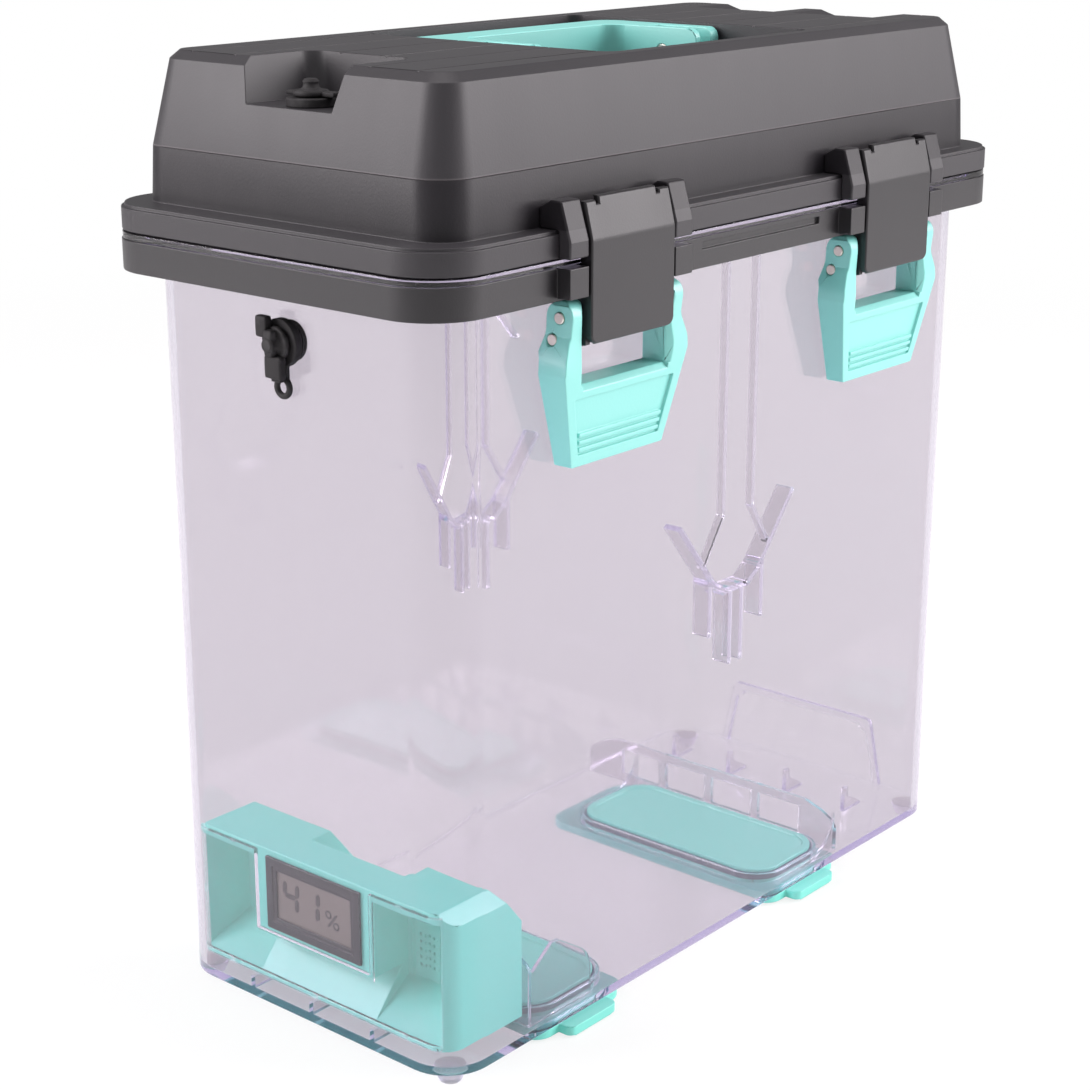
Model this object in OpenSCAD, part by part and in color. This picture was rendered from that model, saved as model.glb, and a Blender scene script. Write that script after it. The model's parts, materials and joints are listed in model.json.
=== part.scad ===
// Dry box for filament spools: a clear tub with a latched lid, a folding carry
// handle, two desiccant trays and a humidity meter.
// Millimetres. +Z is up, X runs along the long side, the latches face -Y.
// The origin is at the centre of the footprint, on the surface the feet stand on.

/* [Tub] */
// Outside length of the tub
tub_l = 317; // [290:1:420]
// Outside width of the tub
tub_w = 142; // [136:1:200]
// Height of the top of the tub flange above the surface it stands on
tub_top_z = 288.5; // [250:0.5:400]
// Thickness of the tub's walls
tub_wall = 2.5; // [2:0.1:4]
// Thickness of the tub's floor
floor_t = 2.5; // [2:0.1:4]
// Outside radius of the tub's upright corners
tub_r = 18; // [12:1:30]
// Thickness of the flange round the top of the tub
flange_t = 2.5; // [1.5:0.1:3]
// Height of the feet
foot_h = 5; // [4.5:0.5:12]
// Radius of a foot at its top
foot_r = 6; // [4:0.5:9]

/* [Rim collar] */
// Height of the collar under the tub flange
collar_h = 11; // [9:0.5:14]
// How far the collar stands out past the tub's end walls
collar_out_x = 12; // [10:0.5:18]
// How far the collar stands out past the tub's long walls
collar_out_y = 9.5; // [9.5:0.5:12]
// Thickness of the collar's outer wall and web
collar_t = 3; // [2:0.1:4]

/* [Lid] */
// Height of the lid above its sealing gap
lid_h = 60; // [54:1:90]
// Height of the lid's flange
lid_flange_h = 9; // [9:0.5:12]
// Height of the upright band between the flange and the sloping sides
lid_band_h = 19; // [14:1:30]
// How far the lid's ends lean in from the band to the top
lid_lean_x = 7.5; // [3:0.5:12]
// How far the lid's long sides lean in from the band to the top
lid_lean_y = 5.7; // [2:0.1:7]
// Thickness of the lid's shell
lid_t = 3; // [2:0.1:4]
// Gap between the tub flange and the lid's skirt
lid_gap = 0.5; // [0.4:0.1:1]
// Width of the gasket
gasket_w = 3.6; // [2.5:0.1:4.5]

/* [Lid notch and scoops] */
// Width of the notch floor in the lid's end
notch_w = 40; // [32:1:50]
// How far the notch reaches in from the lid's end
notch_l = 38; // [32:1:45]
// Depth of the notch below the lid's top
notch_d = 15; // [13:0.5:18]
// Radius of the two finger scoops at the other end
scoop_r = 42; // [30:1:60]
// Depth of the finger scoops
scoop_d = 5; // [2:0.5:8]

/* [Carry handle] */
// Length of the recess that the handle folds into
recess_l = 120; // [100:1:150]
// Width of the recess
recess_w = 116; // [104:1:118]
// Depth of the recess
recess_d = 27; // [27:0.5:32]
// Width across the handle's arms
handle_w = 117; // [90:1:118]
// Distance from the handle's pivot to the far face of the grip
handle_reach = 40; // [34:1:52]
// Width of the grip and the arms, which are channels open below
handle_bar = 14.5; // [12:0.5:18]
// Height of the grip and the arms
handle_h = 12; // [10:0.5:14]
// Diameter of the handle's pivot pins
handle_pin_d = 5; // [4:0.5:6]

/* [Latches] */
// Distance of each latch from the middle of the box
latch_x = 81.5; // [60:0.5:110]
// Width of the latch strap
strap_w = 44; // [36:1:56]
// Width of each arm of the latch lever, and of the blocks beside the strap
arm_w = 10; // [8:0.5:14]
// Diameter of the two steel pins in each latch
latch_pin_d = 4; // [3:0.25:4]
// Width of the lever's two heads, which hold the pins
head_w = 7; // [6:0.5:9]
// Length of the lever below its pivot
lever_len = 51.5; // [44:0.5:70]

/* [Trays] */
// Width of a tray's plug, along the box
plug_w = 44; // [34:1:50]
// Length of a tray's plug, across the box
plug_l = 98; // [80:1:112]
// Gap between the tub's front wall and a tray's plug
plug_inset = 6.5; // [5.5:0.5:12]
// Middle of the tray nearer the meter
near_tray_x = -87; // [-90:1:-80]
// Middle of the other tray
far_tray_x = 58; // [45:1:90]
// Width of the pull tab at the front of a tray
tab_w = 27; // [18:1:34]

/* [Humidity meter] */
// Width of the meter's bezel
bezel_w = 48; // [40:0.5:54]
// Height of the meter's bezel
bezel_h = 28.6; // [24:0.1:32]
// Height of the middle of the meter above the surface the box stands on
meter_z = 48.3; // [44:0.1:52]

/* [Ports] */
// Diameter of the tube that each port takes
port_tube_d = 4; // [3:0.5:6]
// Height of the end port's middle
end_port_z = 258; // [240:1:262]

/* [Hidden] */
$fn = 48;
eps = 0.01;
fit = 0.05; // radial clearance of a pin in its bearing
slack = 0.3; // gap between faces that pass each other

// Tub
floor_z = foot_h + floor_t;
tub_in_l = tub_l - 2 * tub_wall;
tub_in_w = tub_w - 2 * tub_wall;
tub_in_r = tub_r - tub_wall;

// Collar and flange share one outline
collar_l = tub_l + 2 * collar_out_x;
collar_w = tub_w + 2 * collar_out_y;
collar_r = tub_r + 3;
collar_top = tub_top_z - flange_t;
collar_bot = collar_top - collar_h;
collar_y = collar_w / 2;

// Lid
lid_z = tub_top_z + lid_gap;
lid_top = lid_z + lid_h;
flange_top = lid_z + lid_flange_h;
band_top = flange_top + lid_band_h;
lid_l = collar_l - 1;
lid_w = collar_w + 1;
lid_plate_z = flange_top - 4;
skirt_t = 2.2;
body_l = tub_l + 0.4;
body_w = tub_w + 3.8;
body_r = 14;
band_draft = 1.6;
top_l = body_l - band_draft - 2 * lid_lean_x;
top_w = body_w - band_draft - 2 * lid_lean_y;
top_r = 10;
top_round = 3;
groove_pitch = 21;
groove_w = 0.9;
groove_d = 0.5;

// Notch and scoops
notch_floor = lid_top - notch_d;
notch_flare = 4; // the notch is this much wider on each side at its top
lid_end_x = -body_l / 2;
lid_port_x = lid_end_x + 15.5;
scoop_y = 24;
scoop_l = 26;

// Handle
recess_floor = lid_top - recess_d;
pan_t = 2.5;
handle_top = lid_top - 1;
pivot_z = handle_top - 9;
handle_heel = pivot_z - recess_floor - 0.7;
inner_plate_t = 3;
outer_plate_t = 5;
web_t = 2.5;
lug_gap = handle_bar - inner_plate_t - outer_plate_t;
lug_t = lug_gap - 2 * slack;
lug_r = 5.3;
handle_corner_r = 9;
lug_x = handle_w / 2 - outer_plate_t - lug_gap / 2;

// Latches
arm_gap = 0.5;
block_gap = 1;
arm_in = strap_w / 2 + arm_gap;
arm_out = arm_in + arm_w;
block_in = strap_w / 2 + block_gap;
block_out = arm_out;
block_y = collar_y + 5.5;
strap_y = collar_y + 6;
strap_t = 2.2;
strap_lean = 3.4;
strap_in = collar_y + 1.1; // closest the strap comes to the lid
pin1_y = -(collar_y - 1.5);
pin1_z = collar_bot - 6;
pin2_y = -(collar_y - 4.5);
pin2_z = pin1_z - 7.5;
pin_r = latch_pin_d / 2;
head_out = arm_in + head_w;
pin_len = 2 * head_out + 1;
strap_crease_z = lid_z + 5;
strap_top_z = lid_z + 18.5;
strap_bot_z = pin2_z - 1.5;
strap_lug_r = pin_r + 2.2;
ear_in = strap_w / 2 - strap_t - 0.5 - 4;
ear_t = 4;
ear_r = pin_r + 2.4;
catch_y = -(collar_y - 1.7);
catch_z = lid_z + 13;
catch_r = 1.75;
catch_l = 2 * block_in + 10;
lever_bot_z = pin1_z - lever_len;
lever_front = collar_y + 4;
lever_bot_w = 49;
window_z = pin1_z - 23;
window_edge = 2.2; // chamfer round the lever's window
strap_tab_w = 30; // raised middle of the strap's top edge
strap_step = 1.2;
strap_corner_r = 3;

// Rear hinges
hinge_y = collar_y + 2.6;
hinge_z = tub_top_z - 0.75;
knuckle_r = 3.4;
knuckle_w = 25;
lid_knuckle_w = 12;
knuckles = knuckle_w + 2 * lid_knuckle_w + 4 * slack;
hinge_pin_r = 1.5;

// Cradles for the spindle, as distances from their middle and heights
cradle_x = 4.5;
tip_x = 36;
tip_z = 177;
knee_x = 15;
knee_z = 151;
bed_x = 8;
bed_z = 146;
cradle_t = 2.2;
cradle_deep = 7.3;
leg_in = 3.6;
leg_out = 16.6;
guide_x = 9.3;
guide_deep = 3.1;
guide_t = 1.6;
flare_x = 20.5;
flare_z = 159;

// Trays
seat_gap = 1.2; // plug to the edge of its opening in the floor
plug_r = 12;
plug_y = -(tub_in_w / 2 - plug_inset - plug_l / 2);
plug_top = floor_z + 4.7;
lip_t = 1.6; // raised rim round the opening
lip_h = 3.6;
plate_top = foot_h - slack;
plate_bot = 1.2;
plate_over = 3.5; // plate past the plug along the box
plate_back = 13; // plate past the plug's rear end
tab_out = 6;
core_w = 6.4; // grooves that core the plug out from below
core_pitch = 8.4;

// Vent screens
screen_t = 1.8;
screen_x = plug_w / 2 + seat_gap + lip_t + 0.2; // from the middle of the tray
screen_half = tub_in_w / 2 - 2;
far_screen_h = 19.5;
near_screen_h = 30.5;
vent_n = 4;
vent_half = 48;
vent_post = 4;
vent_z = [3.5, 15.5]; // above the tub's floor
gusset_l = 23;
gusset_h = 17.5;
gusset_t = 1.5;

// Meter and its housing
housing_front = -tub_in_l / 2 + 3.2;
housing_back = near_tray_x - screen_x - screen_t - 1;
housing_half = tub_in_w / 2 - 4.5;
housing_z = floor_z + 4.5;
housing_top = 65;
housing_r = 8;
housing_t = 2;
pod_in = bezel_w / 2 + 6;
pod_depth = 18;
pod_draft = 6;
back_notch = [-30, 17.5]; // open middle of the housing's top, behind the meter
back_notch_z = 50;
cover_t = 1.2;
cover_rim = 0.5;
cover_rim_w = 2.2;
cover_side = 9; // how far the cover wraps round the corners
case_w = bezel_w - 2;
case_h = bezel_h - 1.6;
case_d = 12;
case_t = 1.2;
lcd_w = case_w - 8;
lcd_h = case_h - 8;
cell_d = 11.6;
cell_t = 5.4;

// Ports
port_r = port_tube_d / 2 + fit;
stub_r = port_r + 0.3;
stub_l = 4;
pocket_r = stub_r + slack;
neck_r = pocket_r + 2.2;
port_disc_r = neck_r + 3.4;
port_disc_t = 3;
cap_r = 6;
cap_t = 2;
knob_r = 2.85;
knob_l = 3.6;
tail_w = 4.4;
tail_z = 13;

// ---- Shared shapes ----

// Flat rectangle with round corners
module round_rect(l, w, r) {
    union() {
        square([l - 2 * r, w], center = true);
        square([l, w - 2 * r], center = true);
        for (sx = [-1, 1], sy = [-1, 1])
            translate([sx * (l / 2 - r), sy * (w / 2 - r)]) circle(r);
    }
}

// Upright plate with round corners
module slab(l, w, r, z0, z1) {
    translate([0, 0, z0]) linear_extrude(z1 - z0) round_rect(l, w, r);
}

// Ring between two outlines
module ring(l, w, r, t, z0, z1) {
    difference() {
        slab(l, w, r, z0, z1);
        slab(l - 2 * t, w - 2 * t, r - t, z0 - 1, z1 + 1);
    }
}

// Profile drawn in Y and Z, made solid from x0 to x1
module along_x(x0, x1) {
    translate([x0, 0, 0]) rotate([90, 0, 90]) linear_extrude(x1 - x0) children();
}

// Profile drawn in X and Z, made solid from y0 to y1
module along_y(y0, y1) {
    translate([0, y1, 0]) rotate([90, 0, 0]) linear_extrude(y1 - y0) children();
}

// Round bar along X
module bar_x(r, x0, x1, y, z) {
    translate([x0, y, z]) rotate([0, 90, 0]) cylinder(r = r, h = x1 - x0);
}

// Block between two opposite corners
module block(a, b) {
    translate(a) cube(b - a);
}

// ---- Tub ----

module tray_outline(grow) {
    translate([0, plug_y]) round_rect(plug_w + 2 * grow, plug_l + 2 * grow, plug_r + grow);
}

// Straight rib between two points of a profile
module rib_2d(a, b, t) {
    d = b - a;
    translate(a) rotate(atan2(d[1], d[0])) translate([0, -t / 2]) square([norm(d), t]);
}

// Solid on the long wall at side, standing deep mm into the tub
module on_wall(side, deep) {
    y0 = side * (tub_in_w / 2 + 0.2);
    y1 = side * (tub_in_w / 2 - deep);
    along_y(min(y0, y1), max(y0, y1)) children();
}

// Cradle for one end of a spool's spindle, with the ribs that guide the spindle down into it
module cradle(side) {
    translate([cradle_x, 0, 0]) {
        on_wall(side, cradle_deep) {
            for (s = [-1, 1]) {
                rib_2d([s * tip_x, tip_z], [s * knee_x, knee_z], cradle_t);
                rib_2d([s * knee_x, knee_z], [s * bed_x, bed_z], cradle_t);
                rib_2d([s * leg_out, 130], [s * leg_out, knee_z + 1.5], cradle_t);
                rib_2d([s * leg_in, 116], [s * leg_in, bed_z], cradle_t);
                translate([s * knee_x, knee_z]) circle(cradle_t / 2 + 0.25);
                translate([s * bed_x, bed_z]) circle(cradle_t / 2 + 0.25);
            }
            rib_2d([-bed_x, bed_z], [bed_x, bed_z], cradle_t);
        }
        on_wall(side, guide_deep)
            for (s = [-1, 1]) {
                rib_2d([s * guide_x, tip_z - 1], [s * guide_x, collar_bot + 6], guide_t);
                rib_2d([s * guide_x, tip_z - 1], [s * flare_x, flare_z], guide_t);
            }
    }
}

// Small upright post with a ramp behind it, standing on the floor
module floor_post(x, y, h) {
    translate([x, y, floor_z - eps])
        along_y(-1, 1) polygon([[0, 0], [13, 0], [13, 1], [3, h * 0.6], [3, h], [0, h]]);
}

// Rim, posts, ribs and beads that belong to the tub's moulding
module tub_details() {
    bead_w = 3.2;
    for (x = [near_tray_x, far_tray_x])
        translate([x, 0, floor_z - eps]) linear_extrude(lip_h) difference() {
            tray_outline(seat_gap + lip_t);
            tray_outline(seat_gap);
        }
    cradle(-1);
    cradle(1);
    on_wall(1, guide_deep) rib_2d([17, 237], [33, 219], guide_t);
    for (y = [-31, 0, 31])
        block([-tub_in_l / 2 - eps, y - 1, floor_z - eps], [-tub_in_l / 2 + 14, y + 1, housing_z]);
    for (y = [-46.5, -15.5, 15.5, 46.5])
        floor_post(tub_in_l / 2 - 36, y, 11);
    along_x(tub_in_l / 2 - 2, tub_in_l / 2 + 0.2) {
        rib_2d([-42, floor_z], [-36.5, 34.2], bead_w);
        rib_2d([-34.5, 36.2], [34.5, 36.2], bead_w);
        rib_2d([36.5, 34.2], [42, floor_z], bead_w);
        for (s = [-1, 1])
            translate([s * 34.9, 34.6]) circle(bead_w - 0.1);
    }
}

module tub() {
    color([0.85, 0.83, 0.88, 0.45])
        difference() {
            union() {
                difference() {
                    union() {
                        slab(tub_l, tub_w, tub_r, foot_h, tub_top_z);
                        slab(collar_l - 0.6, collar_w - 0.6, collar_r - 0.3, collar_top, tub_top_z);
                    }
                    slab(tub_in_l, tub_in_w, tub_in_r, floor_z, tub_top_z + 1);
                }
                tub_details();
            }
            for (x = [near_tray_x, far_tray_x])
                translate([x, 0, foot_h - 1]) linear_extrude(floor_t + 2) tray_outline(seat_gap);
            bar_x(neck_r, -tub_l / 2 - 1, -tub_in_l / 2 + 1, 0, end_port_z);
            for (s = [-1, 1])
                bar_x(knuckle_r + 0.5, s * latch_x - knuckles / 2, s * latch_x + knuckles / 2,
                      hinge_y, hinge_z);
        }
}

// Four feet under the corners
module feet() {
    inset = 10;
    color([0.8, 0.78, 0.84, 0.6])
        for (sx = [-1, 1], sy = [-1, 1])
            translate([sx * (tub_l / 2 - inset), sy * (tub_w / 2 - inset), 0])
                cylinder(r1 = foot_r * 0.65, r2 = foot_r, h = foot_h);
}

// Upright vented screen behind a tray; dir points to its smooth side
module vent_screen(dir, h) {
    top = floor_z + h;
    vent_w = (2 * vent_half - (vent_n - 1) * vent_post) / vent_n;
    scale([dir, 1, 1]) difference() {
        along_x(screen_x, screen_x + screen_t)
            polygon([[-screen_half, floor_z], [screen_half, floor_z],
                     [screen_half, top - 9], [screen_half - 2, top - 6],
                     [screen_half - 7, top - 3], [screen_half - 16, top],
                     [16 - screen_half, top], [7 - screen_half, top - 3],
                     [2 - screen_half, top - 6], [-screen_half, top - 9]]);
        for (i = [0:vent_n - 1]) {
            y = -vent_half + i * (vent_w + vent_post);
            block([screen_x - 1, y, floor_z + vent_z[0]],
                  [screen_x + screen_t + 1, y + vent_w, floor_z + vent_z[1]]);
        }
    }
}

// Screen with a curved gusset at each end of the tray
module far_vent_screen() {
    front_y = plug_y - plug_l / 2 - seat_gap - lip_t;
    rear_y = plug_y + plug_l / 2 + seat_gap + lip_t;
    foot_x = screen_x - gusset_l;
    color([0.86, 0.85, 0.9, 0.45])
        translate([far_tray_x, 0, 0]) {
            vent_screen(1, far_screen_h);
            for (y = [front_y - 0.2 - gusset_t, rear_y + 0.2])
                along_y(y, y + gusset_t)
                    polygon(concat([[screen_x + eps, floor_z + gusset_h], [screen_x + eps, floor_z],
                                    [foot_x, floor_z]],
                                   [for (a = [20:10:90])
                                       [foot_x + gusset_l * sin(a),
                                        floor_z + gusset_h * (1 - cos(a))]]));
        }
}

// Screen against the meter's housing, with an end wall that steps down round each corner
module near_vent_screen() {
    top = floor_z + near_screen_h;
    color([0.86, 0.85, 0.9, 0.45])
        translate([near_tray_x, 0, 0]) {
            vent_screen(-1, near_screen_h);
            for (s = [-1, 1])
                along_y(s * (screen_half - gusset_t / 2) - gusset_t / 2,
                        s * (screen_half - gusset_t / 2) + gusset_t / 2)
                    polygon([[-screen_x - eps, floor_z], [8, floor_z], [8, floor_z + 12],
                             [6.5, floor_z + 17], [3, floor_z + 20.5], [-10, top - 1.5],
                             [-14, top - 1], [-screen_x - eps, top - 9]]);
        }
}

// ---- Rim collar with the latch ears and the fixed half of the hinges ----

module latch_ears(x) {
    for (s = [-1, 1]) {
        x0 = x + s * (ear_in + ear_t / 2) - ear_t / 2;
        difference() {
            along_x(x0, x0 + ear_t) union() {
                translate([pin1_y, pin1_z]) circle(ear_r);
                translate([pin1_y - 4, pin1_z]) square([8, collar_top - pin1_z - 1]);
            }
            bar_x(pin_r + fit, x0 - 1, x0 + ear_t + 1, pin1_y, pin1_z);
        }
        block([x + (s < 0 ? -block_out : block_in), -block_y, collar_bot + 1],
              [x + (s < 0 ? -block_in : block_out), -collar_y + 1, collar_top]);
    }
}

module hinge_fixed(x) {
    along_x(x - knuckle_w / 2, x + knuckle_w / 2) union() {
        translate([hinge_y, hinge_z]) circle(knuckle_r);
        polygon([[collar_y - collar_t, collar_bot + 3], [collar_y, collar_bot + 3],
                 [hinge_y + knuckle_r, hinge_z], [collar_y - collar_t, collar_top - 0.5]]);
    }
}

module rim_collar() {
    slot_l = 72;
    slot_z = collar_top - 4.4;
    lid_knuckle_x = knuckle_w / 2;
    color([0.36, 0.34, 0.36])
        difference() {
            union() {
                difference() {
                    slab(collar_l, collar_w, collar_r, collar_bot, collar_top);
                    slab(collar_l - 2 * collar_t, collar_w - 2 * collar_t, collar_r - collar_t,
                         collar_bot - 1, collar_top - collar_t);
                    slab(tub_l, tub_w, tub_r, collar_bot - 2, collar_top + 1);
                }
                for (s = [-1, 1]) {
                    latch_ears(s * latch_x);
                    hinge_fixed(s * latch_x);
                }
            }
            for (s = [-1, 1]) {
                bar_x(knuckle_r + 0.5, s * latch_x - knuckles / 2, s * latch_x - lid_knuckle_x,
                      hinge_y, hinge_z);
                bar_x(knuckle_r + 0.5, s * latch_x + lid_knuckle_x, s * latch_x + knuckles / 2,
                      hinge_y, hinge_z);
                bar_x(hinge_pin_r + fit, s * latch_x - knuckle_w, s * latch_x + knuckle_w,
                      hinge_y, hinge_z);
            }
            block([-slot_l / 2, -collar_y - 1, slot_z], [slot_l / 2, -collar_y + 1.2, slot_z + 2.6]);
        }
}

// ---- Ports ----

// Rubber bush with its axis along Z: outer disc from z = 0 up, wall of wall_t below it
module port_bush(wall_t) {
    difference() {
        union() {
            translate([0, 0, -wall_t - 2.2]) cylinder(r = port_disc_r - 1.2, h = 2.2);
            translate([0, 0, -wall_t - eps]) cylinder(r = neck_r, h = wall_t + 2 * eps);
            cylinder(r = port_disc_r, h = port_disc_t);
        }
        translate([0, 0, -wall_t - 4]) cylinder(r = port_r, h = wall_t + 12);
        translate([0, 0, port_disc_t - stub_l - 0.5]) cylinder(r = pocket_r, h = stub_l + 1);
    }
}

// Cap for that bush, with a finger knob
module port_plug() {
    seat = port_disc_t + slack;
    translate([0, 0, port_disc_t - stub_l]) cylinder(r = stub_r, h = stub_l + 1);
    rotate_extrude()
        polygon([[0, seat], [cap_r - 0.5, seat], [cap_r, seat + 0.5], [cap_r, seat + cap_t - 0.5],
                 [cap_r - 0.5, seat + cap_t], [knob_r + 0.9, seat + cap_t],
                 [knob_r, seat + cap_t + 0.7], [knob_r - 0.4, seat + cap_t + 2],
                 [knob_r, seat + cap_t + knob_l - 1], [knob_r - 0.8, seat + cap_t + knob_l],
                 [0, seat + cap_t + knob_l]]);
}

// Turns a port's axis from +Z to the outside of the near end wall
module to_end_wall() {
    translate([-tub_l / 2, 0, end_port_z]) rotate([0, -90, 0]) children();
}

module end_port_grommet() {
    color([0.16, 0.15, 0.16]) to_end_wall() {
        port_bush(tub_wall);
        // Tail that carries the cap's tether
        block([-tail_z, -tail_w / 2, 0.3], [-neck_r - 1.5, tail_w / 2, 2]);
    }
}

module end_port_cap() {
    color([0.16, 0.15, 0.16]) to_end_wall() {
        port_plug();
        block([-tail_z, -tail_w / 2, port_disc_t + slack], [-knob_r, tail_w / 2, port_disc_t + slack + 1.7]);
        block([-tail_z, -tail_w / 2, 2.3], [-tail_z + 2, tail_w / 2, port_disc_t + slack + eps]);
    }
}

module lid_port_grommet() {
    color([0.16, 0.15, 0.16]) translate([lid_port_x, 0, notch_floor]) port_bush(lid_t);
}

module lid_port_cap() {
    color([0.16, 0.15, 0.16]) translate([lid_port_x, 0, notch_floor]) port_plug();
}

// ---- Humidity meter and its housing ----

// Plan of the housing, grown by t towards the near end and the long walls
module housing_plan(t) {
    x0 = housing_front - t;
    w = 2 * (housing_half + t);
    l = 2 * (housing_back - x0);
    intersection() {
        translate([x0 + l / 2, 0]) round_rect(l, w, housing_r + t);
        translate([x0, -w / 2]) square([housing_back - x0, w]);
    }
}

// Housing's outer form, grown by t (t below zero gives the hollow)
module housing_form(t) {
    top = housing_top + t;
    half = housing_half + t;
    back = housing_back + t;
    intersection() {
        translate([0, 0, housing_z - (t < 0 ? 1 : 0)]) linear_extrude(housing_top) union() {
            housing_plan(t);
            if (t > 0) translate([housing_back - 1, -half]) square([1 + t, 2 * half]);
        }
        along_y(-half - 1, half + 1)
            polygon([[housing_front - t - 1, 0], [back, 0], [back, top - 15], [back - 12, top],
                     [housing_front - t - 1, top]]);
        along_x(housing_front - 20, housing_back + 20)
            polygon([[-half, 0], [half, 0], [half, top - 5], [half - 5, top], [5 - half, top],
                     [-half, top - 5]]);
    }
}

// Open middle of the housing's top, grown by t
module housing_notch(t) {
    block([housing_front + pod_depth - 2 - t, back_notch[0] - t, back_notch_z - t],
          [housing_back + 1, back_notch[1] + t, housing_top + 1]);
}

// Funnel-shaped pod beside the meter, open in front
module pod() {
    high_z = housing_top - 4;
    low_z = housing_z + 2;
    hull() {
        block([housing_front - 1, pod_in, low_z], [housing_front + 1, housing_half - 4, high_z]);
        block([housing_front + pod_depth - 0.1, pod_in, low_z + 2 * pod_draft],
              [housing_front + pod_depth, housing_half - 4 - pod_draft, high_z - 2]);
    }
}

module sensor_housing() {
    pocket_x = housing_front + pod_depth;
    low_z = housing_z + 2;
    under_meter = meter_z - bezel_h / 2 - 3;
    color([0.5, 0.82, 0.8])
        difference() {
            housing_form(0);
            housing_notch(0);
            // Hollow behind the pods, open below
            difference() {
                intersection() {
                    housing_form(-housing_t);
                    block([pocket_x + housing_t, -housing_half, 0],
                          [housing_back, housing_half, 200]);
                }
                housing_notch(housing_t);
            }
            // Pods and the sloping channel that joins them
            pod();
            mirror([0, 1, 0]) pod();
            along_y(-pod_in - 1, pod_in + 1)
                polygon([[housing_front - 1, low_z], [housing_front + 1, low_z],
                         [pocket_x - 3, under_meter], [housing_front - 1, under_meter]]);
            // Seat of the meter
            block([housing_front - 1, -case_w / 2 - 0.1, meter_z - case_h / 2 - 0.1],
                  [pocket_x + housing_t + 1, case_w / 2 + 0.1, meter_z + case_h / 2 + 0.1]);
            // Vents in the back of the front pod
            for (i = [0:5], k = [0:4])
                translate([pocket_x - 1, -pod_in - 4 - 3 * i, 31 + 3 * k])
                    rotate([0, 90, 0]) cylinder(r = 0.65, h = housing_t + 2, $fn = 8);
        }
}

// Outline of the cover from t_in to t_out outside the housing
module cover_plan(t_in, t_out) {
    difference() {
        intersection() {
            housing_plan(t_out);
            translate([housing_front - 10, -housing_half + 3])
                square([10 + cover_side, 2 * housing_half - 6]);
        }
        housing_plan(t_in);
    }
}

// Clear cover over the pods and the channel, with a raised rim round each pane
module housing_window() {
    low = housing_z + 1;
    high = housing_top - 1;
    cut = pod_in - 1;
    under = meter_z - bezel_h / 2 - 1.5;
    w = cover_rim_w;
    color([0.9, 0.9, 0.95, 0.4])
        difference() {
            union() {
                translate([0, 0, low]) linear_extrude(high - low) cover_plan(0, cover_t);
                difference() {
                    translate([0, 0, low]) linear_extrude(high - low)
                        cover_plan(cover_t - 0.1, cover_t + cover_rim);
                    for (s = [-1, 1])
                        block([housing_front - 10, s < 0 ? -housing_half : cut + w, low + w],
                              [housing_front + cover_side - w, s < 0 ? -cut - w : housing_half,
                               high - w]);
                    block([housing_front - 10, -cut - w - 1, low + w],
                          [housing_front + 1, cut + w + 1, under - w]);
                }
            }
            block([housing_front - 10, -cut, under], [housing_front + 10, cut, high + 1]);
        }
}

module meter_case() {
    front = housing_front - 1.2;
    color([0.3, 0.29, 0.32])
        difference() {
            union() {
                block([front, -bezel_w / 2, meter_z - bezel_h / 2],
                      [housing_front, bezel_w / 2, meter_z + bezel_h / 2]);
                block([housing_front - eps, -case_w / 2, meter_z - case_h / 2],
                      [housing_front + case_d, case_w / 2, meter_z + case_h / 2]);
            }
            block([front - 1, -lcd_w / 2, meter_z - lcd_h / 2],
                  [housing_front + 1, lcd_w / 2, meter_z + lcd_h / 2]);
            block([front - 1, -lcd_w / 2 - 1.6, meter_z - lcd_h / 2 - 1.6],
                  [front + 0.5, lcd_w / 2 + 1.6, meter_z + lcd_h / 2 + 1.6]);
            block([housing_front, -case_w / 2 + case_t, meter_z - case_h / 2 + case_t],
                  [housing_front + case_d - case_t, case_w / 2 - case_t,
                   meter_z + case_h / 2 - case_t]);
            block([housing_front, -15, meter_z - 8], [housing_front + case_d + 1, 15, meter_z + 8]);
        }
}

module lcd_panel() {
    color([0.6, 0.57, 0.53])
        block([housing_front, -lcd_w / 2 - 1.5, meter_z - lcd_h / 2 - 1.5],
              [housing_front + 1.6, lcd_w / 2 + 1.5, meter_z + lcd_h / 2 + 1.5]);
}

module meter_board() {
    w = case_w - 2 * case_t - 0.2;
    h = case_h - 2 * case_t - 0.2;
    color([0.1, 0.35, 0.2])
        block([housing_front + 2.2, -w / 2, meter_z - h / 2], [housing_front + 3.8, w / 2, meter_z + h / 2]);
}

// Two button cells side by side behind the board
module button_cells() {
    color([0.75, 0.75, 0.77])
        for (y = [-7, 7])
            bar_x(cell_d / 2, housing_front + 3.9, housing_front + 3.9 + cell_t, y, meter_z);
}

module battery_cover() {
    color([0.3, 0.29, 0.32])
        block([housing_front + case_d - case_t, -14.8, meter_z - 7.8],
              [housing_front + case_d + 0.4, 14.8, meter_z + 7.8]);
}

// ---- Lid ----

// Sloping body of the lid, drawn in by t on every side
module lid_form(t) {
    z0 = t > 0 ? lid_plate_z - eps : flange_top - 1;
    r = body_r - t;
    top = lid_top - t;
    hull() {
        slab(body_l - 2 * t, body_w - 2 * t, r, z0, z0 + 1);
        slab(body_l - band_draft - 2 * t, body_w - band_draft - 2 * t, r, band_top - 1, band_top);
        slab(top_l + 1 - 2 * t, top_w + 1 - 2 * t, top_r, top - top_round - 0.5, top - top_round);
        slab(top_l - 2 * top_round - 2 * t, top_w - 2 * top_round - 2 * t, top_r - top_round, top - 1, top);
    }
}

// Plan of the notch in the near end, grown by t, and by flare on each side
module notch_plan(t, flare) {
    l = 2 * (notch_l + t) + flare;
    translate([lid_end_x, 0]) round_rect(l, notch_w + 2 * flare + 2 * t, 6 + t);
}

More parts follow.
